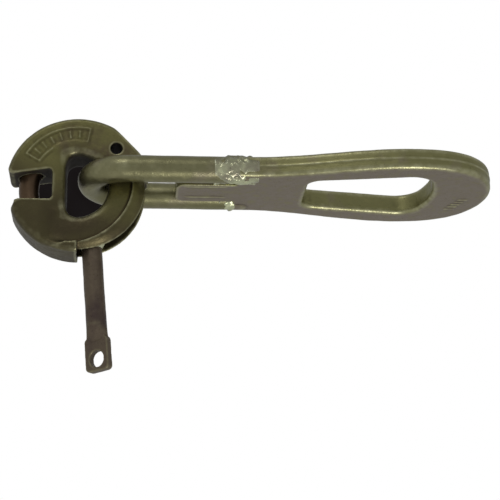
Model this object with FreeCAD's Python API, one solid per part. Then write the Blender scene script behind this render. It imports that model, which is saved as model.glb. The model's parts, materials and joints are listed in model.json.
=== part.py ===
"""Ring clutch with pear link: a hollow ring that closes round a cast-in lifting anchor's eye.

Millimetres, +Z up, hanging as it does on a crane. The origin is where the crane hook bears, in the
crown of the link's eye. The ring's axis is along Y, its front face looks along -Y, its mouth opens
downwards and its release lever points along +X. The link lies in the YZ plane.
"""
import FreeCAD, Part
import math
import os
from FreeCAD import Vector

# --- driving dimensions: the ring -----------------------------------------------------------------
ring_reach = 234.0          # hook bearing point down to the ring's axis
ring_radius = 46.0          # outside radius
ring_thickness = 27.0       # face to face
shoulder_fillet = 3.0       # rounding between each face and the rim
tube_radius = 13.6          # round wall of the channel on the lever side
tube_inset = 0.4            # that wall's crest, inside the ring's outside radius
recess_depth = 3.0          # sunk face on the lever side, below the ring's face
recess_rim = 4.2            # outside radius less the outer arc's radius of the sunk face
recess_offset = (-2.2, -6.9)    # centre of that arc from the ring's axis, X and Z
recess_web_side = 17.0      # the sunk face ends this far from the ring's axis, beside the web
recess_below_web = 1.5      # and this far below the web's foot
recess_slope = 0.19         # its lower edge falls by this much per unit run
edge_fillet = 3.0           # rounding at the edge of the central hole

# --- central hole, web and mouth ------------------------------------------------------------------
hole_relief = 0.8           # the hole's crown, outside the round wall's inner side
hole_bottom = 7.6           # ring axis down to the web
crown_radius = 20.9         # the hole's arched crown
hole_corner = 6.8           # radius of the hole's two lower corners
web_thickness = 9.0         # between the central hole and the mouth
mouth_lever_side = 11.0     # mouth wall on the lever side, from the ring's axis
mouth_far_side = 10.5       # mouth wall on the other side, at its inner end
mouth_lip = 4.0             # how far the far jaw leans in at its tip
mouth_corner = 2.5
far_tip_radius = 3.5        # rounding of the jaws' tips
lever_tip_radius = 5.5

# --- bolt, lever and their clearances -------------------------------------------------------------
bolt_radius = 6.5
bolt_clearance = 0.5        # between the bolt and its channel
bolt_tip_angle = 235.0      # angles run from +X towards +Z, seen from the front
bolt_tail_angle = 380.0
bolt_tip_chamfer = 1.5
opening_angle = 60.0        # the bolt's full travel
channel_spare = 5.0         # degrees of empty channel past the bolt's tip
tail_spare = 18.0           # degrees of empty channel past the bolt's tail when it is open
lever_radius = 6.5
lever_clearance = 0.7       # between the lever and each side of its slot
lever_offset = 6.2          # the lever's line passes this far above the ring's axis
lever_tilt = 4.4            # and rises by this angle
lever_reach = 121.5         # ring axis to the lever's outer end
stop_gap = 0.6              # between the root weld and the slot's closed end
slot_end = 95.0
tab_length = 19.0
tab_width = 17.0
tab_thickness = 5.0
tab_turn = 34.0             # the flattened end is turned about the lever's own line
tab_corner = 3.0
tab_hole_radius = 5.3
tab_hole_edge = 7.8         # hole centre to the lever's outer end
tab_taper = 11.0            # length over which the round bar flattens
weld_leg = 2.4              # size of the lever's root weld
weld_sunk = 1.5             # its foot, inside the bolt's outer side

# --- small features of the ring -------------------------------------------------------------------
drain_radius = 4.0
drain_inset = 11.3           # hole's axis inside the outside radius
drain_angle = 135.4
rim_flat_depth = 2.2        # flat on the rim above the small hole
rim_flat_angle = 133.0
pad_inset = 6.5             # blank framed pad on the front face, inside the outside radius
pad_width = 11.0
pad_start = 168.0
pad_end = 240.0
pad_line = 1.2              # width of its raised frame
pad_height = 0.7
pad_sunk = 0.1              # the frame's root, inside the face
pip_count = 6               # plain raised bars inside the frame
pip_length = 5.0

# --- link -----------------------------------------------------------------------------------------
bow_radius = 8.7            # round bar of the bow
bow_clearance = 1.0         # between the bow and the ring's round tube
bow_slide = 6.5             # the ring's axis lies this far to the lever's side of the link's line
bow_groove = 0.4            # clearance of the groove that the swinging bow needs
groove_foot = 9.0           # the groove ends this far above the ring's axis
quarter_margin = 0.7        # the sunk quarter reaches this far past the groove
leg_length = 70.0           # straight part of each leg
tongue_length = 38.0        # tongue below the ends of the legs
tongue_gap = 0.4            # between the tongue and each leg
tongue_corner = 6.0
plate_thickness = 14.5
plate_edge = 3.0            # rounding of the forging's edges
eye_half_width = 48.5       # outline's half width near its widest
eye_widest = 29.0           # that place, below the hook bearing point
crown_depth = 38.5          # metal above the hook bearing point
crown_half_width = 36.5     # a point of the round crown
crown_rise = 22.5           # that point, above the hook bearing point
waist_half_width = 39.5
waist_drop = 74.0           # the waist, below the hook bearing point
eye_length = 85.0           # opening of the eye along the link
eye_top_half_width = 33.5
eye_bottom_half_width = 22.0
eye_top_corner = 15.0
eye_bottom_corner = 9.0
eye_top_slope = 8.0         # the opening's upper corners, below the hook bearing point
eye_crown_rise = 1.8        # and its apex before rounding, above it
eye_crown_radius = 60.0
shoulder_step = 0.5         # the plate's side, inside the legs' outer side
stub_length = 6.0          # round shoulders that meet the bow's legs
leg_weld_height = 1.6       # how proud the leg welds stand
front_weld_width = 26.0     # the closing weld runs further along its leg
rear_weld_width = 11.0

# --- worked out -----------------------------------------------------------------------------------
ring_z = -ring_reach
channel_radius = ring_radius - tube_radius - tube_inset
hole_top = channel_radius - tube_radius + hole_relief
recess_radius = ring_radius - recess_rim
drain_reach = ring_radius - drain_inset
pad_outer = ring_radius - pad_inset
pad_inner = pad_outer - pad_width
half_thickness = ring_thickness / 2
floor_level = half_thickness - recess_depth
bore_radius = bolt_radius + bolt_clearance
slot_half_width = lever_radius + lever_clearance
root_radius = channel_radius + bolt_radius
root_angle = math.degrees(math.asin(lever_offset / root_radius)) + lever_tilt
slot_start = root_angle - math.degrees(math.asin((lever_radius + weld_leg + stop_gap) / root_radius))
bow_centre_radius = tube_radius + bow_clearance + bow_radius
tongue_half_width = bow_centre_radius - bow_radius - tongue_gap
BEYOND = 200.0              # longer than anything that is cut
TO_FRONT = Vector(0, -1, 0)
bow_rise = math.sqrt(channel_radius ** 2 - bow_slide ** 2)
groove_half_width = bow_radius + bow_groove
quarter_edge = -bow_slide - groove_half_width - quarter_margin
leg_end = bow_rise + leg_length
tongue_start = leg_end - tongue_length
ring_centre = Vector(bow_slide, 0, ring_z)
bow_pivot = Vector(0, 0, ring_z + bow_rise)


def in_ring(x, z, y=0.0):
    """A point given from the ring's axis."""
    return ring_centre + Vector(x, y, z)


def polar(radius, angle, y=0.0):
    """A point at a radius and angle about the ring's axis."""
    turn = math.radians(angle)
    return in_ring(radius * math.cos(turn), radius * math.sin(turn), y)


def outline(points):
    """A closed wire: each entry is an end point, or a pair (point on the arc, end point)."""
    edges = []
    last = points[0]
    for step in points[1:]:
        if isinstance(step, tuple):
            edges.append(Part.Arc(last, step[0], step[1]).toShape())
            last = step[1]
        else:
            edges.append(Part.LineSegment(last, step).toShape())
            last = step
    if (last - points[0]).Length > 1e-6:
        edges.append(Part.LineSegment(last, points[0]).toShape())
    return Part.Wire(edges)


def corner(before, point, after, radius):
    """Start, middle and end of an arc that rounds a corner."""
    back = (before - point).normalize()
    ahead = (after - point).normalize()
    half = back.getAngle(ahead) / 2
    setback = radius / math.tan(half)
    inward = (back + ahead).normalize()
    middle = point + inward * (radius / math.sin(half) - radius)
    return point + back * setback, middle, point + ahead * setback


def rounded_outline(corners):
    """A closed wire through (point, radius) corners."""
    edges = []
    arcs = []
    count = len(corners)
    for index in range(count):
        before = corners[index - 1][0]
        point, radius = corners[index]
        after = corners[(index + 1) % count][0]
        arcs.append(corner(before, point, after, radius))
    for index in range(count):
        start, middle, end = arcs[index]
        following = arcs[(index + 1) % count][0]
        edges.append(Part.Arc(start, middle, end).toShape())
        if (following - end).Length > 1e-6:
            edges.append(Part.LineSegment(end, following).toShape())
    return Part.Wire(edges)


def across(wire, y_low, y_high):
    """A prism along Y from a wire drawn in the plane y = 0."""
    face = Part.Face(wire)
    face.translate(Vector(0, y_low, 0))
    return face.extrude(Vector(0, y_high - y_low, 0))


def both_faces(wire, level):
    """Prisms in front of and behind the ring, outside the planes y = +-level."""
    front = across(wire, -BEYOND, -level)
    back = across(wire, level, BEYOND)
    return front.fuse(back)


def sector(radius_in, radius_out, half_width, start, end):
    """A rectangular band swept about the ring's axis."""
    low = polar(radius_in, start, -half_width)
    high = polar(radius_out, start, -half_width)
    width = Vector(0, 2 * half_width, 0)
    face = Part.Face(outline([low, high, high + width, low + width]))
    return face.revolve(ring_centre, TO_FRONT, end - start)


def arc_rod(radius, start, end):
    """A round rod swept along the channel's centre line."""
    turn = math.radians(start)
    tangent = Vector(-math.sin(turn), 0, math.cos(turn))
    circle = Part.makeCircle(radius, polar(channel_radius, start), tangent)
    return Part.Face(Part.Wire(circle)).revolve(ring_centre, TO_FRONT, end - start)


def edges_on_plane(shape, level, reach):
    """Edges that lie in the plane y = level, within a distance of the ring's axis."""
    found = []
    for edge in shape.Edges:
        box = edge.BoundBox
        flat = abs(box.YMin - level) < 1e-4 and abs(box.YMax - level) < 1e-4
        far = max((vertex.Point - in_ring(0, 0, level)).Length for vertex in edge.Vertexes)
        if flat and far < reach:
            found.append(edge)
    return found


def central_hole_wire():
    """A flat side along the web and an arched crown, joined by two rounded corners."""
    low = -hole_bottom
    crown_z = hole_top - crown_radius
    corner_z = low + hole_corner
    span = crown_radius - hole_corner
    corner_x = math.sqrt(span ** 2 - (corner_z - crown_z) ** 2)
    lean = math.atan2(corner_z - crown_z, corner_x)
    middle = (lean - math.pi / 2) / 2

    def on_corner(turn):
        return corner_x + hole_corner * math.cos(turn), corner_z + hole_corner * math.sin(turn)

    end_x, end_z = on_corner(lean)
    middle_x, middle_z = on_corner(middle)
    return outline([
        in_ring(-corner_x, low),
        in_ring(corner_x, low),
        (in_ring(middle_x, middle_z), in_ring(end_x, end_z)),
        (in_ring(0, hole_top), in_ring(-end_x, end_z)),
        (in_ring(-middle_x, middle_z), in_ring(-corner_x, low)),
    ])


def disc():
    """Full-thickness disc with rounded shoulders."""
    body = Part.makeCylinder(ring_radius, ring_thickness, in_ring(0, 0, half_thickness), TO_FRONT)
    rims = [edge for edge in body.Edges if len(edge.Vertexes) == 1]
    return body.makeFillet(shoulder_fillet, rims)


def tube_disc():
    """Disc whose rim is the round wall of the channel."""
    core = Part.makeCylinder(channel_radius, 2 * floor_level, in_ring(0, 0, floor_level), TO_FRONT)
    tube = Part.makeTorus(channel_radius, tube_radius, ring_centre, TO_FRONT)
    return core.fuse(tube)


def holed(body, level):
    """Cut the central hole and round its edges on both faces."""
    body = body.cut(across(central_hole_wire(), -BEYOND, BEYOND))
    reach = crown_radius + edge_fillet
    front = edges_on_plane(body, -level, reach)
    back = edges_on_plane(body, level, reach)
    return body.makeFillet(edge_fillet, front + back)


def recess_disc():
    circle = Part.makeCircle(recess_radius, in_ring(*recess_offset), TO_FRONT)
    return both_faces(Part.Wire(circle), floor_level)


def lever_side_area():
    """Plan of the sunk face: right of the web's foot and under the link's bow."""
    web_foot = hole_bottom + web_thickness + recess_below_web
    fall = recess_slope * (BEYOND - recess_web_side)
    return across(outline([
        in_ring(recess_web_side, -web_foot),
        in_ring(recess_web_side, 0),
        in_ring(quarter_edge, 0),
        in_ring(quarter_edge, BEYOND),
        in_ring(BEYOND, BEYOND),
        in_ring(BEYOND, -web_foot - fall),
    ]), -BEYOND, BEYOND)


def slot_side_area():
    """The quarter of the rim that the lever's slot runs through."""
    return across(outline([
        in_ring(0, 0),
        in_ring(quarter_edge, 0),
        in_ring(quarter_edge, BEYOND),
        in_ring(BEYOND, BEYOND),
        in_ring(BEYOND, 0),
    ]), -BEYOND, BEYOND)


def jaw_tip(wall_x, side, radius):
    """Where the rounded tip of a jaw leaves the mouth's wall, its middle, and where it meets the rim."""
    centre_x = wall_x + side * radius
    reach = ring_radius - radius
    centre_z = -math.sqrt(reach ** 2 - centre_x ** 2)
    centre = in_ring(centre_x, centre_z)
    to_wall = Vector(-side, 0, 0)
    to_rim = (centre - ring_centre).normalize()
    to_middle = (to_wall + to_rim).normalize()
    return [centre + direction * radius for direction in (to_wall, to_middle, to_rim)]


def mouth():
    """The opening for the anchor's eye; the far jaw leans in towards its tip."""
    top = -hole_bottom - web_thickness
    lever_tip = jaw_tip(mouth_lever_side, 1, lever_tip_radius)
    far_tip = jaw_tip(mouth_lip - mouth_far_side, -1, far_tip_radius)
    lever_top = in_ring(mouth_lever_side, top)
    far_top = in_ring(-mouth_far_side, top)
    lever_corner = corner(lever_tip[0], lever_top, far_top, mouth_corner)
    far_corner = corner(lever_top, far_top, far_tip[0], mouth_corner)
    beyond_lever = ring_centre + (lever_tip[2] - ring_centre) * 2
    beyond_far = ring_centre + (far_tip[2] - ring_centre) * 2
    return across(outline([
        lever_corner[2],
        far_corner[0],
        (far_corner[1], far_corner[2]),
        far_tip[0],
        (far_tip[1], far_tip[2]),
        beyond_far,
        beyond_lever,
        lever_tip[2],
        (lever_tip[1], lever_tip[0]),
        lever_corner[0],
        (lever_corner[1], lever_corner[2]),
    ]), -BEYOND, BEYOND)


def bow_groove_cutter():
    """What the link's bow sweeps as the ring swings on it."""
    side = groove_half_width
    far = bow_centre_radius + BEYOND
    crest = bow_centre_radius - side
    profile = Part.Face(outline([
        bow_pivot + Vector(-side, 0, -far),
        bow_pivot + Vector(-side, 0, -bow_centre_radius),
        (bow_pivot + Vector(0, 0, -crest), bow_pivot + Vector(side, 0, -bow_centre_radius)),
        bow_pivot + Vector(side, 0, -far),
    ]))
    sweep = profile.revolve(bow_pivot, Vector(1, 0, 0), 360)
    reach = bow_rise - groove_foot
    corner_point = bow_pivot - Vector(side, BEYOND / 2, reach)
    return sweep.common(Part.makeBox(2 * side, BEYOND, BEYOND, corner_point))


def pad_frame():
    """A raised line round a blank pad, with plain bars in it."""
    def band(inner, outer, start, end):
        piece = sector(inner, outer, pad_height / 2, start, end)
        piece.translate(Vector(0, -half_thickness - pad_height / 2 + pad_sunk, 0))
        return piece

    line_angle = math.degrees(pad_line / pad_outer)
    pieces = [
        band(pad_inner, pad_inner + pad_line, pad_start, pad_end),
        band(pad_outer - pad_line, pad_outer, pad_start, pad_end),
        band(pad_inner, pad_outer, pad_start, pad_start + line_angle),
        band(pad_inner, pad_outer, pad_end - line_angle, pad_end),
    ]
    middle = (pad_inner + pad_outer) / 2
    for index in range(pip_count):
        angle = pad_start + (pad_end - pad_start) * (index + 1) / (pip_count + 1)
        pieces.append(band(middle - pip_length / 2, middle + pip_length / 2, angle, angle + line_angle))
    return pieces


def ring_body():
    face_half = holed(disc(), half_thickness)
    lever_half = holed(disc().cut(recess_disc()), floor_level)
    slot_quarter = holed(tube_disc().cut(recess_disc()), floor_level)
    area = lever_side_area()
    quarter = slot_side_area()
    body = face_half.cut(area)
    body = body.fuse(lever_half.common(area.cut(quarter)))
    body = body.fuse(slot_quarter.common(area.common(quarter)))
    body = body.removeSplitter()
    body = body.cut(bow_groove_cutter())
    body = body.cut(mouth())
    channel_start = bolt_tip_angle - channel_spare
    channel_end = bolt_tail_angle + opening_angle + tail_spare
    body = body.cut(arc_rod(bore_radius, channel_start, channel_end))
    body = body.cut(sector(channel_radius, BEYOND, slot_half_width, slot_start, slot_end))
    drain_centre = polar(drain_reach, drain_angle, BEYOND)
    drain = Part.makeCylinder(drain_radius, 2 * BEYOND, drain_centre, TO_FRONT)
    body = body.cut(drain)
    flat_corner = Vector(ring_radius - rim_flat_depth, -BEYOND, -BEYOND / 2)
    flat = Part.makeBox(BEYOND, 2 * BEYOND, BEYOND, flat_corner)
    flat.rotate(Vector(0, 0, 0), TO_FRONT, rim_flat_angle)
    flat.translate(ring_centre)
    body = body.cut(flat)
    for piece in pad_frame():
        body = body.fuse(piece)
    return body.removeSplitter()


def locking_bolt():
    bolt = arc_rod(bolt_radius, bolt_tip_angle, bolt_tail_angle)
    girth = 2 * math.pi * bolt_radius
    rims = [edge for edge in bolt.Edges if abs(edge.Length - girth) < 0.1]
    return bolt.makeFillet(bolt_tip_chamfer, rims)


def lever_placement():
    """Along +X before it is tilted and lifted to its line."""
    turn = FreeCAD.Rotation(TO_FRONT, lever_tilt)
    return FreeCAD.Placement(in_ring(0, lever_offset), turn)


def lever_bar():
    """Round bar with a flattened, drilled end, along +X from the origin."""
    along = Vector(1, 0, 0)
    tab_start = lever_reach - tab_length
    round_end = tab_start - tab_taper
    root = channel_radius + bolt_radius / 2
    bar = Part.makeCylinder(lever_radius, round_end - root, Vector(root, 0, 0), along)
    circle = Part.Wire(Part.makeCircle(lever_radius, Vector(round_end, 0, 0), along))
    half = tab_width / 2
    wide = Vector(tab_start, 0, half)
    thin = Vector(tab_start, tab_thickness / 2, 0)
    ellipse = Part.Ellipse(wide, thin, Vector(tab_start, 0, 0)).toShape()
    taper = Part.makeLoft([circle, Part.Wire(ellipse)], True)
    overlap = tab_start - tab_corner
    tab_wire = rounded_outline([
        (Vector(overlap, 0, -half), tab_corner),
        (Vector(overlap, 0, half), tab_corner),
        (Vector(lever_reach, 0, half), tab_corner),
        (Vector(lever_reach, 0, -half), tab_corner),
    ])
    tab = across(tab_wire, -tab_thickness / 2, tab_thickness / 2)
    hole_centre = Vector(lever_reach - tab_hole_edge, -BEYOND, 0)
    hole = Part.makeCylinder(tab_hole_radius, 2 * BEYOND, hole_centre, Vector(0, 1, 0))
    end = taper.fuse(tab).cut(hole)
    end.rotate(Vector(0, 0, 0), along, tab_turn)
    return bar.fuse(end).removeSplitter()


def release_lever():
    lever = lever_bar()
    lever.Placement = lever_placement().multiply(lever.Placement)
    return lever.cut(locking_bolt())


def lever_root_weld():
    """Fillet weld on the two sides of the lever that the slot leaves open."""
    foot = Vector(root_radius - weld_sunk, 0, 0)
    height = weld_leg + weld_sunk
    bead = Part.makeCone(lever_radius + weld_leg, lever_radius, height, foot, Vector(1, 0, 0))
    corner_point = Vector(0, -lever_radius, -BEYOND / 2)
    slab = Part.makeBox(BEYOND, 2 * lever_radius, BEYOND, corner_point)
    bead = bead.common(slab)
    bead.Placement = lever_placement().multiply(bead.Placement)
    return bead.cut(locking_bolt()).cut(release_lever())


def link_bow():
    """Round bar bent into a U, its bend round the ring's tube and its legs up to the eye."""
    bend = Part.makeTorus(bow_centre_radius, bow_radius, bow_pivot, Vector(1, 0, 0))
    below = Part.makeBox(2 * BEYOND, 2 * BEYOND, BEYOND, bow_pivot - Vector(BEYOND, BEYOND, BEYOND))
    bow = bend.common(below)
    for side in (-1, 1):
        foot = bow_pivot + Vector(0, side * bow_centre_radius, 0)
        bow = bow.fuse(Part.makeCylinder(bow_radius, leg_length, foot, Vector(0, 0, 1)))
    return bow.removeSplitter()


def plate(wire):
    """The forging's plate: a wire drawn in the plane x = 0, thickened both ways."""
    face = Part.Face(wire)
    face.translate(Vector(-plate_thickness / 2, 0, 0))
    return face.extrude(Vector(plate_thickness, 0, 0))


def eye_outline():
    """The pear: one smooth curve from shoulder to shoulder round the crown."""
    shoulder_z = ring_z + leg_end
    shoulder = bow_centre_radius + bow_radius - shoulder_step
    side = [
        Vector(0, shoulder, shoulder_z),
        Vector(0, waist_half_width, -waist_drop),
        Vector(0, eye_half_width, -eye_widest),
        Vector(0, crown_half_width, crown_rise),
    ]
    other = [Vector(0, -point.y, point.z) for point in reversed(side)]
    pear = Part.BSplineCurve()
    pear.interpolate(side + [Vector(0, 0, crown_depth)] + other)
    foot = Part.LineSegment(other[-1], side[0])
    return Part.Wire([pear.toShape(), foot.toShape()])


def eye_opening():
    foot = -eye_length
    top_side = eye_top_half_width
    return rounded_outline([
        (Vector(0, -eye_bottom_half_width, foot), eye_bottom_corner),
        (Vector(0, eye_bottom_half_width, foot), eye_bottom_corner),
        (Vector(0, top_side, -eye_top_slope), eye_top_corner),
        (Vector(0, 0, eye_crown_rise), eye_crown_radius),
        (Vector(0, -top_side, -eye_top_slope), eye_top_corner),
    ])


def tongue():
    """Flat tail of the forging between the bow's legs."""
    foot = ring_z + tongue_start
    top = ring_z + leg_end + stub_length / 2
    side = tongue_half_width
    return plate(rounded_outline([
        (Vector(0, -side, foot), tongue_corner),
        (Vector(0, side, foot), tongue_corner),
        (Vector(0, side, top), 1),
        (Vector(0, -side, top), 1),
    ]))


def link_eye_forging():
    body = plate(eye_outline()).cut(plate(eye_opening()))
    body = body.makeFillet(plate_edge, [edge for edge in body.Edges if edge.BoundBox.XLength < 1e-6])
    body = body.fuse(tongue())
    for side in (-1, 1):
        foot = Vector(0, side * bow_centre_radius, ring_z + leg_end)
        stub = Part.makeCylinder(bow_radius, stub_length, foot, Vector(0, 0, 1))
        top = foot + Vector(0, 0, stub_length)
        cap = Part.makeSphere(bow_radius, top, Vector(0, 0, 1), 0, 90, 360)
        body = body.fuse(stub).fuse(cap)
    return body.removeSplitter()


def leg_weld(side, width):
    """Bead round the butt joint of a leg and its shoulder."""
    foot = Vector(0, side * bow_centre_radius, ring_z + leg_end)
    half = width / 2
    rim = bow_radius
    section = Part.Face(outline([
        foot + Vector(0, 0, -half),
        foot + Vector(rim, 0, -half),
        (foot + Vector(rim + leg_weld_height, 0, 0), foot + Vector(rim, 0, half)),
        foot + Vector(0, 0, half),
    ]))
    bead = section.revolve(foot, Vector(0, 0, 1), 360)
    return bead.cut(link_bow()).cut(link_eye_forging())


def main():
    os.makedirs("parts", exist_ok=True)
    parts = {
        "ring_body": ring_body(),
        "locking_bolt": locking_bolt(),
        "release_lever": release_lever(),
        "lever_root_weld": lever_root_weld(),
        "link_eye_forging": link_eye_forging(),
        "link_bow": link_bow(),
        "front_leg_weld": leg_weld(-1, front_weld_width),
        "rear_leg_weld": leg_weld(1, rear_weld_width),
    }
    for name, shape in parts.items():
        print(name, len(shape.Solids), round(shape.Volume), shape.isValid())
        shape.exportStep(f"parts/{name}.step")


main()
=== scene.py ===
"""Looks of the ring clutch with pear link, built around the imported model."""
import json
import math
import random

import bmesh
import bpy
import numpy as np
from mathutils import Matrix, Vector, noise


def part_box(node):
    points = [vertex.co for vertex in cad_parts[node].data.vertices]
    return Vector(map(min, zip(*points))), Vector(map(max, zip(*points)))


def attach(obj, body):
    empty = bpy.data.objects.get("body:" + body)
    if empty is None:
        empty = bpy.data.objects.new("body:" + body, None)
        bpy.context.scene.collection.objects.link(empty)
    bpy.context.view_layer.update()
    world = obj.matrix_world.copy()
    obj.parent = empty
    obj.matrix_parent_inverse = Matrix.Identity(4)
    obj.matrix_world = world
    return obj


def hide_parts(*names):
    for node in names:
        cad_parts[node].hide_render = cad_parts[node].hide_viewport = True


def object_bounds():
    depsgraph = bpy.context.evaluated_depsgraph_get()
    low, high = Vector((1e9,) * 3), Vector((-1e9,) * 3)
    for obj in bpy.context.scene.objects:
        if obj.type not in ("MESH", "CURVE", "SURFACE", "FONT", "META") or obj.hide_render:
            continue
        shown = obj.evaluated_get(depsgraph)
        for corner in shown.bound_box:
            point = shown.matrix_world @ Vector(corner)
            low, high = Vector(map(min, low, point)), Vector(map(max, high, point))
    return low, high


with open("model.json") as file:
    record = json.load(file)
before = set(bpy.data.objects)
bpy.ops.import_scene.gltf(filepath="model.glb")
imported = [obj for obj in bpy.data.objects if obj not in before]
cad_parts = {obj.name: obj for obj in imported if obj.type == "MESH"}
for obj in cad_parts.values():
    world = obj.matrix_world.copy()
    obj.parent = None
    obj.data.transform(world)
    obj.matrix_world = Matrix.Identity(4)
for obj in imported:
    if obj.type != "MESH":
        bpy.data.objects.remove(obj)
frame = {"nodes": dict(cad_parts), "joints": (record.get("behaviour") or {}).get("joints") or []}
CAD_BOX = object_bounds()

MM = 0.001

# --- places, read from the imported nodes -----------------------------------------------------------
bow_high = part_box("link_bow")[1]
eye_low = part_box("link_eye_forging")[0]
front_weld_low, front_weld_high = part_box("front_leg_weld")
rear_weld_low, rear_weld_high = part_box("rear_leg_weld")
whole_low = Vector(CAD_BOX[0])
joints = {joint["name"]: joint for joint in frame["joints"]}
RING_AXIS = Vector(joints["bolt_turn"]["pos_m"])
LEG_Y = {
    -1: (front_weld_low[1] + front_weld_high[1]) / 2,
    1: (rear_weld_low[1] + rear_weld_high[1]) / 2,
}
LEG_RADIUS = bow_high[0]
LEG_END_Z = (front_weld_low[2] + front_weld_high[2]) / 2
PLATE_HALF = 7.25 * MM
HOLE_CROWN_RADIUS = 20.9 * MM   # the ring's central hole
HOLE_CROWN_Z = -1.7 * MM        # that arc's centre, from the ring's axis
WEB_Z = -7.6 * MM               # the hole's flat side, from the ring's axis
STEP_PLACE = (17 * MM, -20 * MM)    # the sunk face's step beside the web, X and Z from that axis
STEP_REACH = 26 * MM            # the step is soft this far from there
MOUTH_EDGE_X = 12.3 * MM        # and past the mouth's wall on the lever's side
INSIDE_RADIUS = 45.5 * MM       # surfaces within this radius are inside the ring
RIM_START = 40 * MM             # but outward-looking ones past this one are its rim
BAR_COUNT = 5                   # plain bars on the crown's face
BAR_ROW_Z = 19 * MM
BAR_LEAN = 0.35
LIPS_Y = (-11.6 * MM, 6.0 * MM)     # the two lips along the tongue
RAISED = 0.55 * MM              # height of the bars and lips

# --- camera: the ring's front and one flat of the link, the link lying across the picture ---------
CAMERA_PLACE = Vector((0.3434, -0.8401, -0.2052))
CAMERA_AIM = Vector((0.0461, 0.0, -0.1225))
CAMERA_UP = Vector((-0.9430, -0.3325, -0.0121))
CAMERA_LENS = 99.15
SENSOR = 36.0


def make_camera():
    data = bpy.data.cameras.new("camera")
    data.lens = CAMERA_LENS
    data.sensor_width = SENSOR
    camera = bpy.data.objects.new("camera", data)
    bpy.context.scene.collection.objects.link(camera)
    back = (CAMERA_PLACE - CAMERA_AIM).normalized()
    right = CAMERA_UP.cross(back).normalized()
    up = back.cross(right)
    turn = Matrix((right, up, back)).transposed().to_4x4()
    camera.matrix_world = Matrix.Translation(CAMERA_PLACE) @ turn
    bpy.context.scene.camera = camera
    return right, up, back


PICTURE_RIGHT, PICTURE_UP, TO_CAMERA = make_camera()


# --- meshes ---------------------------------------------------------------------------------------
def link_object(obj):
    bpy.context.scene.collection.objects.link(obj)
    return obj


def welded_copy(node):
    """A CAD node's mesh with its split vertices joined."""
    mesh = frame["nodes"][node].data.copy()
    mesh.materials.clear()
    work = bmesh.new()
    work.from_mesh(mesh)
    bmesh.ops.remove_doubles(work, verts=work.verts, dist=1e-6)
    work.to_mesh(mesh)
    work.free()
    return mesh


def bake_modifiers(obj):
    """Put the result of the modifiers into the mesh."""
    graph = bpy.context.evaluated_depsgraph_get()
    graph.update()
    mesh = bpy.data.meshes.new_from_object(obj.evaluated_get(graph))
    obj.modifiers.clear()
    old = obj.data
    obj.data = mesh
    bpy.data.meshes.remove(old)


def remesh(obj, voxel, rounding):
    """Even out the mesh and round its edges, as a casting's or forging's are."""
    modifier = obj.modifiers.new("remesh", "REMESH")
    modifier.mode = "VOXEL"
    modifier.voxel_size = voxel
    smooth = obj.modifiers.new("smooth", "SMOOTH")
    smooth.factor = 0.5
    smooth.iterations = rounding
    bake_modifiers(obj)


def waves(obj, name, scale, height, depth=2):
    """Shallow unevenness of a cast or forged skin."""
    texture = bpy.data.textures.new(name, "CLOUDS")
    texture.noise_scale = scale
    texture.noise_depth = depth
    modifier = obj.modifiers.new(name, "DISPLACE")
    modifier.texture = texture
    modifier.texture_coords = "LOCAL"
    modifier.mid_level = 0.5
    modifier.strength = height


def coordinates(mesh):
    points = np.empty(len(mesh.vertices) * 3)
    mesh.vertices.foreach_get("co", points)
    return points.reshape(-1, 3)


def normals(mesh):
    values = np.empty(len(mesh.vertices) * 3)
    mesh.vertices.foreach_get("normal", values)
    return values.reshape(-1, 3)


def move_points(mesh, points):
    mesh.vertices.foreach_set("co", points.ravel())
    mesh.update()


def edge_pairs(mesh):
    pairs = np.empty(len(mesh.edges) * 2, dtype=np.int64)
    mesh.edges.foreach_get("vertices", pairs)
    return pairs.reshape(-1, 2)


def neighbour_mean(values, pairs, count):
    total = np.zeros_like(values)
    for axis in range(values.shape[1]):
        total[:, axis] += np.bincount(pairs[:, 0], values[pairs[:, 1], axis], count)
        total[:, axis] += np.bincount(pairs[:, 1], values[pairs[:, 0], axis], count)
    degree = np.bincount(pairs.ravel(), minlength=count)
    return total / np.maximum(degree, 1)[:, None]


def store(mesh, name, values):
    attribute = mesh.attributes.new(name, "FLOAT", "POINT")
    attribute.data.foreach_set("value", np.clip(values, 0, 1).astype(np.float32))


def mark_edges(obj, steps=10, gain=6.0e3):
    """Store how convex and how hollow the surface is: convex places take the wear tint, hollow ones a
    dark tone.
    """
    mesh = obj.data
    count = len(mesh.vertices)
    pairs = edge_pairs(mesh)
    points = coordinates(mesh)
    smoothed = points
    for _ in range(steps):
        smoothed = neighbour_mean(smoothed, pairs, count)
    out = np.einsum("ij,ij->i", points - smoothed, normals(mesh))[:, None]
    for _ in range(3):
        out = neighbour_mean(out, pairs, count)
    store(mesh, "wear_and_highlight", out[:, 0] * gain)
    store(mesh, "hollow", -out[:, 0] * gain)


def add_painted_highlight(obj, amount):
    """Painted highlight: brighten places with the wear tint although they are not sharp."""
    attribute = obj.data.attributes["wear_and_highlight"]
    values = np.empty(len(obj.data.vertices), dtype=np.float32)
    attribute.data.foreach_get("value", values)
    attribute.data.foreach_set("value", np.clip(values + amount, 0, 1).astype(np.float32))


def shade_smooth(mesh):
    mesh.polygons.foreach_set("use_smooth", np.ones(len(mesh.polygons), dtype=bool))
    mesh.update()


def finish_piece(obj, body, material, nodes=()):
    shade_smooth(obj.data)
    obj.data.materials.clear()
    obj.data.materials.append(material)
    if nodes:
        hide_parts(*nodes)
    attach(obj, body)


def bead_mesh(name, lumps, voxel, rounding):
    """Run weld drops together into one solid bead: each lump is (centre, size x, y, z)."""
    work = bmesh.new()
    for centre, size in lumps:
        turn = Matrix.Translation(centre) @ Matrix.Diagonal((*size, 1.0))
        bmesh.ops.create_icosphere(work, subdivisions=3, radius=1.0, matrix=turn)
    mesh = bpy.data.meshes.new(name)
    work.to_mesh(mesh)
    work.free()
    obj = link_object(bpy.data.objects.new(name, mesh))
    remesh(obj, voxel, rounding)
    return obj


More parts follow.
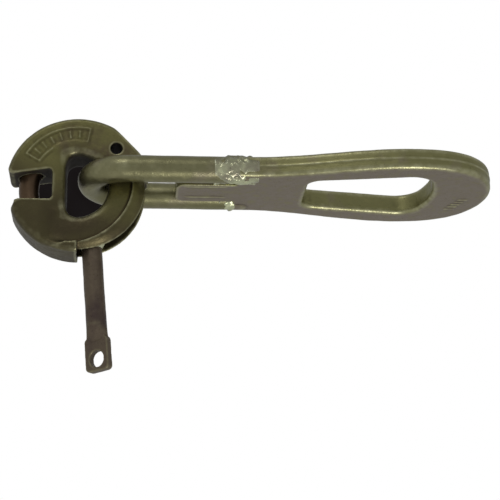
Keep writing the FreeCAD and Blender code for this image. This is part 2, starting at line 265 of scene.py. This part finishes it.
# --- materials ------------------------------------------------------------------------------------
class Surface:
    """A node material in the making, with short calls for what the metals share."""

    def __init__(self, name):
        self.material = bpy.data.materials.new(name)
        self.material.use_nodes = True
        self.tree = self.material.node_tree
        self.shader = self.tree.nodes["Principled BSDF"]
        self.place = self.node("ShaderNodeTexCoord").outputs["Object"]

    def node(self, kind, **values):
        made = self.tree.nodes.new(kind)
        for key, value in values.items():
            setattr(made, key, value)
        return made

    def join(self, source, target):
        self.tree.links.new(source, target)

    def noise(self, per_metre, detail=4.0, rough=0.55, stretch=None):
        texture = self.node("ShaderNodeTexNoise")
        texture.inputs["Scale"].default_value = per_metre
        texture.inputs["Detail"].default_value = detail
        texture.inputs["Roughness"].default_value = rough
        place = self.place
        if stretch:
            mapping = self.node("ShaderNodeMapping")
            mapping.inputs["Scale"].default_value = stretch
            self.join(place, mapping.inputs["Vector"])
            place = mapping.outputs["Vector"]
        self.join(place, texture.inputs["Vector"])
        return texture.outputs["Fac"]

    def cells(self, per_metre):
        texture = self.node("ShaderNodeTexVoronoi")
        texture.inputs["Scale"].default_value = per_metre
        self.join(self.place, texture.inputs["Vector"])
        return texture.outputs["Distance"]

    def spread(self, value, low, high, to_low=0.0, to_high=1.0):
        change = self.node("ShaderNodeMapRange")
        change.inputs["From Min"].default_value = low
        change.inputs["From Max"].default_value = high
        change.inputs["To Min"].default_value = to_low
        change.inputs["To Max"].default_value = to_high
        self.join(value, change.inputs["Value"])
        return change.outputs["Result"]

    def maths(self, how, first, second):
        node = self.node("ShaderNodeMath", operation=how)
        for index, value in enumerate((first, second)):
            if isinstance(value, (int, float)):
                node.inputs[index].default_value = value
            else:
                self.join(value, node.inputs[index])
        return node.outputs[0]

    def attribute(self, name):
        node = self.node("ShaderNodeAttribute", attribute_name=name)
        return node.outputs["Fac"]

    def blend(self, amount, first, second):
        node = self.node("ShaderNodeMix", data_type="RGBA")
        self.join(amount, node.inputs[0])
        for index, value in ((6, first), (7, second)):
            if isinstance(value, tuple):
                node.inputs[index].default_value = (*value, 1.0)
            else:
                self.join(value, node.inputs[index])
        return node.outputs[2]

    def bump(self, layers):
        """Stack bumps: each layer is (height, distance in metres)."""
        last = None
        for height, distance in layers:
            node = self.node("ShaderNodeBump")
            node.inputs["Strength"].default_value = 1.0
            node.inputs["Distance"].default_value = distance
            self.join(height, node.inputs["Height"])
            if last:
                self.join(last, node.inputs["Normal"])
            last = node.outputs["Normal"]
        self.join(last, self.shader.inputs["Normal"])


def plated(name, base, bloom, wear_highlight_tint, dark_tone, rough=0.42, pits=0.00010, grain=0.00005,
           bloom_spread=(0.46, 0.62), flat=None, scratches=0.0, side_shade_tint=(0.10, 0.08, 0.05)):
    """Yellow-passivated zinc over a cast or forged skin.

    The four tints after the name are the plating's main tint, its purple-grey bloom, the tint of
    rubbed edges and of painted highlights, and a dark tone for hollows, specks, scratches and the
    painted shade inside the ring's openings. The last tint is for painted shade over one side of a
    piece, and the flat-face tint is a painted reflection on the flat faces. pits and grain are bump
    heights in metres. scratches is the strength of fine lines along the piece.
    """
    surface = Surface(name)
    shader = surface.shader
    # painted shade inside the ring's openings: darker, less metallic and rougher there
    opening_shade = surface.attribute("opening_shade")
    surface.join(surface.spread(opening_shade, 0.0, 1.0, 0.92, 0.25), shader.inputs["Metallic"])
    shader.inputs["Specular IOR Level"].default_value = 0.5
    large = surface.noise(38.0, 3.0)
    middle = surface.noise(170.0, 5.0, 0.6)
    small = surface.noise(900.0, 4.0, 0.6)
    colour = base
    if flat:
        # painted reflection tint on the flat faces
        face = surface.attribute("flat_face_reflection")
        colour = surface.blend(face, base, flat)
    colour = surface.blend(surface.spread(large, *bloom_spread), colour, bloom)
    lighter = tuple(min(1.0, channel * 1.28) for channel in base)
    patches = surface.spread(middle, 0.52, 0.72, 0.0, 0.45)
    colour = surface.blend(patches, colour, lighter)
    darker = tuple(channel * 0.5 for channel in dark_tone)
    specks = surface.spread(small, 0.62, 0.74, 0.0, 0.55)
    colour = surface.blend(specks, colour, darker)
    # painted shade over one side of a piece, broken up by large noise
    uneven = surface.spread(large, 0.30, 0.60, 0.7, 1.0)
    side_shade = surface.maths("MULTIPLY", surface.attribute("side_shade"), uneven)
    colour = surface.blend(side_shade, colour, side_shade_tint)
    # darker in hollows, by how concave the surface is
    hollow = surface.spread(surface.attribute("hollow"), 0.10, 0.75, 0.0, 0.85)
    colour = surface.blend(hollow, colour, dark_tone)
    colour = surface.blend(opening_shade, colour, darker)
    # real wear on convex edges together with painted highlights, both taking the wear tint
    wear_and_highlight = surface.spread(surface.attribute("wear_and_highlight"), 0.18, 0.85)
    broken = surface.spread(middle, 0.36, 0.62, 0.25, 1.0)
    wear_highlight = surface.maths("MULTIPLY", wear_and_highlight, broken)
    colour = surface.blend(surface.spread(wear_highlight, 0.0, 1.0, 0.0, 0.75), colour, wear_highlight_tint)
    layers = [(surface.noise(520.0, 5.0, 0.6), pits), (surface.cells(1500.0), grain)]
    if scratches:
        lines = surface.noise(60.0, 6.0, 0.7, stretch=(1.5, 30.0, 30.0))
        thin = surface.spread(lines, 0.60, 0.70)
        colour = surface.blend(surface.maths("MULTIPLY", thin, scratches), colour, darker)
        layers.append((lines, pits * 0.6))
    surface.join(colour, shader.inputs["Base Color"])
    matt = surface.maths("ADD", surface.spread(middle, 0.3, 0.7, -0.07, 0.07), rough)
    matt = surface.maths("ADD", matt, surface.spread(small, 0.3, 0.7, -0.05, 0.05))
    matt = surface.maths("SUBTRACT", matt, surface.maths("MULTIPLY", wear_highlight, 0.12))
    matt = surface.maths("ADD", matt, surface.maths("MULTIPLY", opening_shade, 0.3))
    surface.join(matt, shader.inputs["Roughness"])
    surface.bump(layers)
    return surface.material


OLIVE = (0.262, 0.248, 0.110)
DEEP_OLIVE = (0.178, 0.164, 0.064)
MAUVE = (0.285, 0.238, 0.178)
STRAW = (0.52, 0.50, 0.30)
UMBER = (0.050, 0.036, 0.018)
BRONZE = (0.118, 0.090, 0.056)

ring_metal = plated("ring_casting_zinc", DEEP_OLIVE, BRONZE, STRAW, UMBER, rough=0.40,
                    bloom_spread=(0.50, 0.74), side_shade_tint=(0.078, 0.062, 0.034))
# the flat faces get the mauve as a painted reflection
link_metal = plated("link_forging_zinc", OLIVE, MAUVE, STRAW, UMBER, rough=0.42, flat=MAUVE,
                    bloom_spread=(0.55, 0.80))
bow_metal = plated("bow_bar_zinc", (0.240, 0.226, 0.116), MAUVE, STRAW, UMBER, rough=0.36,
                   bloom_spread=(0.52, 0.78))
lever_metal = plated("lever_zinc", (0.160, 0.124, 0.088), (0.100, 0.072, 0.062),
                     (0.30, 0.27, 0.16), UMBER, rough=0.46, scratches=0.6)
bolt_metal = plated("bolt_steel", (0.120, 0.078, 0.046), (0.215, 0.125, 0.088), (0.26, 0.17, 0.11),
                    (0.030, 0.018, 0.011), rough=0.38, scratches=0.5)
# the weld's near-white tint on its lump crests is painted highlight
weld_metal = plated("weld_bead_zinc", (0.680, 0.700, 0.440), (0.230, 0.180, 0.150),
                    (0.98, 1.0, 0.76), UMBER, rough=0.27, pits=0.00020, bloom_spread=(0.50, 0.66))


# --- ring -----------------------------------------------------------------------------------------
def node_piece(node, name, voxel, rounding):
    obj = link_object(bpy.data.objects.new(name, welded_copy(node)))
    remesh(obj, voxel, rounding)
    return obj


def soften(obj, weights, iterations):
    """Round a part of the mesh further. weights are per vertex, from 0 to 1."""
    group = obj.vertex_groups.new(name="soft")
    for level in range(1, 11):
        chosen = np.nonzero(np.round(weights * 10) == level)[0]
        if len(chosen):
            group.add(chosen.tolist(), level / 10, "REPLACE")
    smooth = obj.modifiers.new("soften", "SMOOTH")
    smooth.factor = 0.5
    smooth.iterations = iterations
    smooth.vertex_group = "soft"
    bake_modifiers(obj)


def hole_distance(place):
    """How far outside the central hole's outline each point lies. place is from the ring's axis."""
    crown = np.hypot(place[:, 0], place[:, 2] - HOLE_CROWN_Z) - HOLE_CROWN_RADIUS
    return np.maximum(crown, WEB_Z - place[:, 2])


def near_face(place, start):
    """1 by the ring's two faces, 0 further in than start millimetres from its middle plane."""
    return np.clip(np.abs(place[:, 1]) / MM - start, 0, 1)


ring = node_piece("ring_body", "ring_casting", 0.42 * MM, 5)
ring_place = coordinates(ring.data) - np.array(RING_AXIS)
hole_depth = hole_distance(ring_place)
front = np.clip((-ring_place[:, 1] - 8 * MM) / (2 * MM), 0, 1)
step_x, step_z = STEP_PLACE
step_distance = np.hypot(ring_place[:, 0] - step_x, ring_place[:, 2] - step_z)
by_step = np.clip((STEP_REACH - step_distance) / (4 * MM), 0, 1)
past_mouth = np.clip((ring_place[:, 0] - MOUTH_EDGE_X) / (1.5 * MM), 0, 1)
hole_edge = np.clip(1.8 - np.abs(hole_depth - 2.0 * MM) / (4.0 * MM), 0, 1)
hole_edge = hole_edge * near_face(ring_place, 5.5)
soften(ring, np.maximum(front * by_step * past_mouth, hole_edge), 150)
broad_edge = np.clip(1.6 - np.abs(hole_depth - 3.5 * MM) / (5.5 * MM), 0, 1)
broad_edge = broad_edge * near_face(ring_place, 3.5)
soften(ring, broad_edge * np.clip((-ring_place[:, 0] - 8 * MM) / (7 * MM), 0, 1), 400)
waves(ring, "ring_waves", 0.011, 0.30 * MM)
waves(ring, "ring_skin", 0.0028, 0.09 * MM)
bake_modifiers(ring)
mark_edges(ring, gain=4.5e3)


def mark_ring(obj):
    """Painted shade inside the openings but not on the rim, and over the half by the lever."""
    points = coordinates(obj.data)
    facing = normals(obj.data)
    # painted shade on the inner walls of the openings, not on the outward-facing rim
    inward = np.clip(1.6 - 2.2 * np.abs(facing[:, 1]), 0, 1)
    depth = np.clip((13.6 * MM - np.abs(points[:, 1])) / (2.4 * MM), 0, 1)
    place = points - np.array(RING_AXIS)
    radius = np.hypot(place[:, 0], place[:, 2])
    inside = np.clip((INSIDE_RADIUS - radius) / (1.2 * MM), 0, 1)
    outward = (facing[:, 0] * place[:, 0] + facing[:, 2] * place[:, 2]) / radius
    inside *= 1 - np.clip((outward - 0.5) / 0.3, 0, 1) * np.clip((radius - RIM_START) / MM, 0, 1)
    store(obj.data, "opening_shade", inward * depth * inside)
    # painted shade over the ring towards the lever's side (+X)
    side = 0.85 * place[:, 0] - 0.45 * place[:, 2]
    store(obj.data, "side_shade", 0.95 * np.clip((side + 6 * MM) / (20 * MM), 0, 1))


mark_ring(ring)
# painted highlight on the front fillets of the hole towards both sides, laid into the wear mask
sides = np.clip((np.abs(ring_place[:, 0]) - 11 * MM) / (6 * MM), 0, 1)
narrow = np.clip(1.5 - np.abs(hole_depth - 1.8 * MM) / (2.6 * MM), 0, 1)
front_highlight = np.clip((-ring_place[:, 1] - 6.5 * MM) / (2 * MM), 0, 1)
add_painted_highlight(ring, 0.34 * narrow * sides * front_highlight)
finish_piece(ring, "ring", ring_metal, ["ring_body"])

# --- link forging ---------------------------------------------------------------------------------
forging = node_piece("link_eye_forging", "eye_forging", 0.5 * MM, 5)
waves(forging, "forging_waves", 0.016, 0.34 * MM)
waves(forging, "forging_skin", 0.0034, 0.10 * MM)
bake_modifiers(forging)


def raise_parting_line(obj, half_width=0.95 * MM, height=0.6 * MM):
    """The thin line that the dies' joint leaves round the outside of the forging."""
    points = coordinates(obj.data)
    facing = normals(obj.data)
    outside = (np.abs(points[:, 1]) > 24 * MM) | (points[:, 2] > 10 * MM)
    outside &= facing[:, 1] * points[:, 1] + facing[:, 2] * (points[:, 2] + 30 * MM) > 0
    middle = np.clip(1 - np.abs(points[:, 0]) / half_width, 0, 1)
    sideways = np.clip(1.4 - 2 * np.abs(facing[:, 0]), 0, 1)
    crest = middle ** 1.4 * sideways * outside
    ripple = 0.75 + 0.25 * np.sin(points[:, 2] * 310 + points[:, 1] * 90)
    points += facing * (crest * height * ripple)[:, None]
    move_points(obj.data, points)
    return crest


def raise_bars(obj):
    """Plain raised bars on the crown's face, and two lips along the tongue's face."""
    points = coordinates(obj.data)
    facing = normals(obj.data)
    face = np.clip((facing[:, 0] - 0.75) / 0.2, 0, 1)
    amount = np.zeros(len(points))
    for index in range(BAR_COUNT):
        middle_y = (4.0 + 4.2 * index) * MM
        across_bar = np.clip(1.5 - np.abs(points[:, 1] - middle_y) / (0.8 * MM), 0, 1)
        from_row = np.abs(points[:, 2] - BAR_ROW_Z + BAR_LEAN * (points[:, 1] - 12 * MM))
        along_bar = np.clip(4.0 - from_row / (0.9 * MM), 0, 1)
        amount = np.maximum(amount, across_bar * along_bar)
    on_tongue = np.clip((LEG_END_Z - 4 * MM - points[:, 2]) / (3 * MM), 0, 1)
    on_tongue *= np.clip((points[:, 2] - eye_low[2] - 4 * MM) / (3 * MM), 0, 1)
    for lip_y in LIPS_Y:
        lip = np.clip(1.4 - np.abs(points[:, 1] - lip_y) / (0.7 * MM), 0, 1)
        amount = np.maximum(amount, on_tongue * lip)
    amount *= face
    points += facing * (amount * RAISED)[:, None]
    move_points(obj.data, points)
    return amount


# painted highlight: the parting line, the raised bars and the band where the edges round into the flats
# are brightened through the wear mask
crest = np.maximum(raise_parting_line(forging), 0.8 * raise_bars(forging))
mark_edges(forging)
slant = np.abs(normals(forging.data)[:, 0])
edge_highlight_band = np.clip(1.2 - np.abs(slant - 0.60) / 0.28, 0, 1)
add_painted_highlight(forging, crest + 0.42 * edge_highlight_band)
# painted reflection: the flat faces take the mauve tint of the surroundings
flat = np.clip((np.abs(normals(forging.data)[:, 0]) - 0.80) / 0.15, 0, 1)
store(forging.data, "flat_face_reflection", flat)
finish_piece(forging, "link", link_metal, ["link_eye_forging"])

# --- bow ------------------------------------------------------------------------------------------
bow = node_piece("link_bow", "bow_bar", 0.5 * MM, 3)
waves(bow, "bow_waves", 0.015, 0.32 * MM)
waves(bow, "bow_skin", 0.003, 0.08 * MM)
bake_modifiers(bow)
mark_edges(bow)
finish_piece(bow, "link", bow_metal, ["link_bow"])

# --- lever, its weld and the bolt -----------------------------------------------------------------
lever = node_piece("release_lever", "lever_bar", 0.36 * MM, 5)
waves(lever, "lever_waves", 0.010, 0.34 * MM)
waves(lever, "lever_skin", 0.0026, 0.09 * MM)
bake_modifiers(lever)
mark_edges(lever)
finish_piece(lever, "bolt", lever_metal, ["release_lever"])

bolt = node_piece("locking_bolt", "curved_bolt", 0.42 * MM, 3)
waves(bolt, "bolt_skin", 0.003, 0.06 * MM)
bake_modifiers(bolt)
mark_edges(bolt)
finish_piece(bolt, "bolt", bolt_metal, ["locking_bolt"])

root_weld = node_piece("lever_root_weld", "lever_root_bead", 0.22 * MM, 2)
waves(root_weld, "root_weld_lumps", 0.0018, 0.30 * MM)
bake_modifiers(root_weld)
mark_edges(root_weld)
finish_piece(root_weld, "bolt", weld_metal, ["lever_root_weld"])


# --- leg welds ------------------------------------------------------------------------------------
def sleeve(name, side, half_length, arc, proud, seed):
    """A closed crust on a leg over its butt joint: lumpy outside, round inside, thin at its edges.

    arc is the start and end angle about the leg, from +X. proud is the crust's mean height.
    """
    rows, columns = 110, 150
    inner_radius = LEG_RADIUS - 1.2 * MM
    axis = Vector((0, LEG_Y[side], LEG_END_Z))
    shift = Vector((seed, 2 * seed, 3 * seed))
    work = bmesh.new()
    skins = []
    for outer in (True, False):
        grid = []
        for row in range(rows):
            along = -1 + 2 * row / (rows - 1)
            line = []
            for column in range(columns):
                share = column / (columns - 1)
                turn = math.radians(arc[0] + (arc[1] - arc[0]) * share)
                point = Vector((math.cos(turn), math.sin(turn), 0)) * LEG_RADIUS
                point.z = along * half_length
                radius = inner_radius
                if outer:
                    sample = point * 215 + shift
                    lumps = 1 - abs(noise.noise(sample)) * 2.4
                    fine = noise.noise(sample * 2.7)
                    ragged = 0.40 * noise.noise(sample * 0.5 + shift)
                    fade = min(1.0, 5.0 * max(0.0, 1 + ragged - abs(along) - 0.30))
                    fade *= min(1.0, 9 * min(share, 1 - share))
                    height = (proud + 0.80 * MM * lumps + 0.26 * MM * fine) * fade
                    crust = LEG_RADIUS - 0.45 * MM * (1 - fade) + height
                    radius = max(inner_radius + 0.3 * MM, crust)
                rim = Vector((math.cos(turn) * radius, math.sin(turn) * radius, point.z))
                line.append(work.verts.new(axis + rim))
            grid.append(line)
        skins.append(grid)
    front, back = skins

    def face(corners, flip):
        work.faces.new(corners[::-1] if flip else corners)

    for row in range(rows - 1):
        for column in range(columns - 1):
            for grid, flip in ((front, False), (back, True)):
                near, far = grid[row], grid[row + 1]
                face([near[column], near[column + 1], far[column + 1], far[column]], flip)
    for row in range(rows - 1):
        for column, flip in ((0, False), (columns - 1, True)):
            face([front[row][column], front[row + 1][column], back[row + 1][column], back[row][column]],
                 flip)
    for column in range(columns - 1):
        for row, flip in ((0, True), (rows - 1, False)):
            face([front[row][column], front[row][column + 1], back[row][column + 1], back[row][column]],
                 flip)
    bmesh.ops.recalc_face_normals(work, faces=work.faces)
    mesh = bpy.data.meshes.new(name)
    work.to_mesh(mesh)
    work.free()
    return mesh


def seam_lumps(side, start, end, draw, size):
    """A rippled bead along the seam between the tongue's flat and a leg, where it laps onto the leg."""
    lumps = []
    place = start
    while place < end:
        swell = math.sin(math.pi * (place - start) / (end - start)) ** 0.6
        radius = size * (0.45 + 0.55 * swell) * draw.uniform(0.93, 1.07)
        out = PLATE_HALF - 2.9 * MM * swell - 1.0 * MM
        inner = abs(LEG_Y[side]) - LEG_RADIUS + (1.8 + 2.4 * swell) * MM
        aside = inner + draw.uniform(-0.3, 0.3) * MM
        centre = Vector((out, side * aside, place + draw.uniform(-0.2, 0.2) * MM))
        lumps.append((centre, (radius, radius * 1.1, radius * 0.62)))
        place += 2.1 * MM
    return lumps


def leg_bead(name, node, side, crust, seam, seed):
    """The crust and the seam bead of one leg, run together.

    crust is (half length, arc, mean height) and seam is (start, end, size).
    """
    start, end, size = seam
    lumps = seam_lumps(side, start, end, random.Random(seed), size)
    bead = bead_mesh(name, lumps, 0.4 * MM, 2)
    work = bmesh.new()
    work.from_mesh(bead.data)
    work.from_mesh(sleeve(name + "_crust", side, *crust, seed))
    work.to_mesh(bead.data)
    work.free()
    remesh(bead, 0.34 * MM, 3)
    waves(bead, name + "_lumps", 0.0030, 0.35 * MM)
    bake_modifiers(bead)
    mark_edges(bead, steps=8, gain=3.0e3)
    # painted shade: darker towards -X, the bead's side turned away from the key light
    store(bead.data, "side_shade", 0.6 * (1.5 * MM - coordinates(bead.data)[:, 0]) / (6 * MM))
    finish_piece(bead, "link", weld_metal, [node])


leg_bead("front_leg_bead", "front_leg_weld", -1, (14.4 * MM, (-215, 55), 0.05 * MM),
         (LEG_END_Z - 13.5 * MM, LEG_END_Z + 13.5 * MM, 4.0 * MM), 11)
leg_bead("rear_leg_bead", "rear_leg_weld", 1, (5.5 * MM, (-175, 175), 0.1 * MM),
         (LEG_END_Z - 8 * MM, LEG_END_Z + 4.5 * MM, 2.0 * MM), 23)


# --- floor, light and surroundings ----------------------------------------------------------------
FLOOR_Z = whole_low[2] - 0.055
FLOOR_RADIUS = 0.55
CARD_DISTANCE = 3.0
CARD_RADIUS = 0.112


def make_floor():
    work = bmesh.new()
    bmesh.ops.create_circle(work, cap_ends=True, segments=96, radius=FLOOR_RADIUS,
                            matrix=Matrix.Translation((0, 0, FLOOR_Z)))
    mesh = bpy.data.meshes.new("floor")
    work.to_mesh(mesh)
    work.free()
    floor = link_object(bpy.data.objects.new("floor", mesh))
    surface = Surface("pale_floor")
    tone = surface.blend(surface.noise(30.0), (0.90, 0.90, 0.89), (0.94, 0.94, 0.93))
    surface.join(tone, surface.shader.inputs["Base Color"])
    surface.shader.inputs["Roughness"].default_value = 0.8
    mesh.materials.append(surface.material)


def make_shade_card():
    """A dark studio card far behind the ring, hidden by it in the main view.

    The ring's openings look onto the card, so they are dark there: painted shade, standing in for a
    shadowed surface behind them. It is a stage piece, not a part of the object.
    """
    openings = RING_AXIS - Vector((0, 0, 4 * MM))
    line = (openings - CAMERA_PLACE).normalized()
    centre = openings + line * CARD_DISTANCE
    work = bmesh.new()
    bmesh.ops.create_circle(work, cap_ends=True, segments=64, radius=CARD_RADIUS)
    mesh = bpy.data.meshes.new("card")
    work.to_mesh(mesh)
    work.free()
    card = link_object(bpy.data.objects.new("card", mesh))
    card.matrix_world = Matrix.Translation(centre) @ line.to_track_quat("Z", "Y").to_matrix().to_4x4()
    surface = Surface("painted_shade_card")
    tone = surface.blend(surface.noise(12.0), (0.016, 0.012, 0.011), (0.030, 0.025, 0.026))
    surface.join(tone, surface.shader.inputs["Base Color"])
    surface.shader.inputs["Roughness"].default_value = 0.9
    surface.shader.inputs["Specular IOR Level"].default_value = 0.0
    mesh.materials.append(surface.material)


def soft_light(name, offset, size, power):
    """An area light placed from the aim point by picture right, picture up and towards the camera."""
    data = bpy.data.lights.new(name, "AREA")
    data.shape = "DISK"
    data.size = size
    data.energy = power
    light = link_object(bpy.data.objects.new(name, data))
    right, up, back = offset
    place = CAMERA_AIM + PICTURE_RIGHT * right + PICTURE_UP * up + TO_CAMERA * back
    aim = (place - CAMERA_AIM).to_track_quat("Z", "Y")
    light.matrix_world = Matrix.Translation(place) @ aim.to_matrix().to_4x4()


def make_world():
    world = bpy.data.worlds.new("studio")
    bpy.context.scene.world = world
    world.use_nodes = True
    tree = world.node_tree
    output = tree.nodes["World Output"]
    seen = tree.nodes["Background"]
    seen.inputs["Color"].default_value = (1.0, 1.0, 1.0, 1.0)
    seen.inputs["Strength"].default_value = 1.0
    lit = tree.nodes.new("ShaderNodeBackground")
    lit.inputs["Color"].default_value = (0.96, 0.98, 1.0, 1.0)
    lit.inputs["Strength"].default_value = 0.42
    path = tree.nodes.new("ShaderNodeLightPath")
    mix = tree.nodes.new("ShaderNodeMixShader")
    tree.links.new(path.outputs["Is Camera Ray"], mix.inputs[0])
    tree.links.new(lit.outputs[0], mix.inputs[1])
    tree.links.new(seen.outputs[0], mix.inputs[2])
    tree.links.new(mix.outputs[0], output.inputs["Surface"])


make_floor()
make_shade_card()
make_world()
soft_light("key", (0.30, -0.60, 0.54), 0.24, 1.9)
soft_light("top", (-0.25, 0.75, 0.35), 0.30, 1.0)
bpy.context.scene.view_settings.view_transform = "Standard"
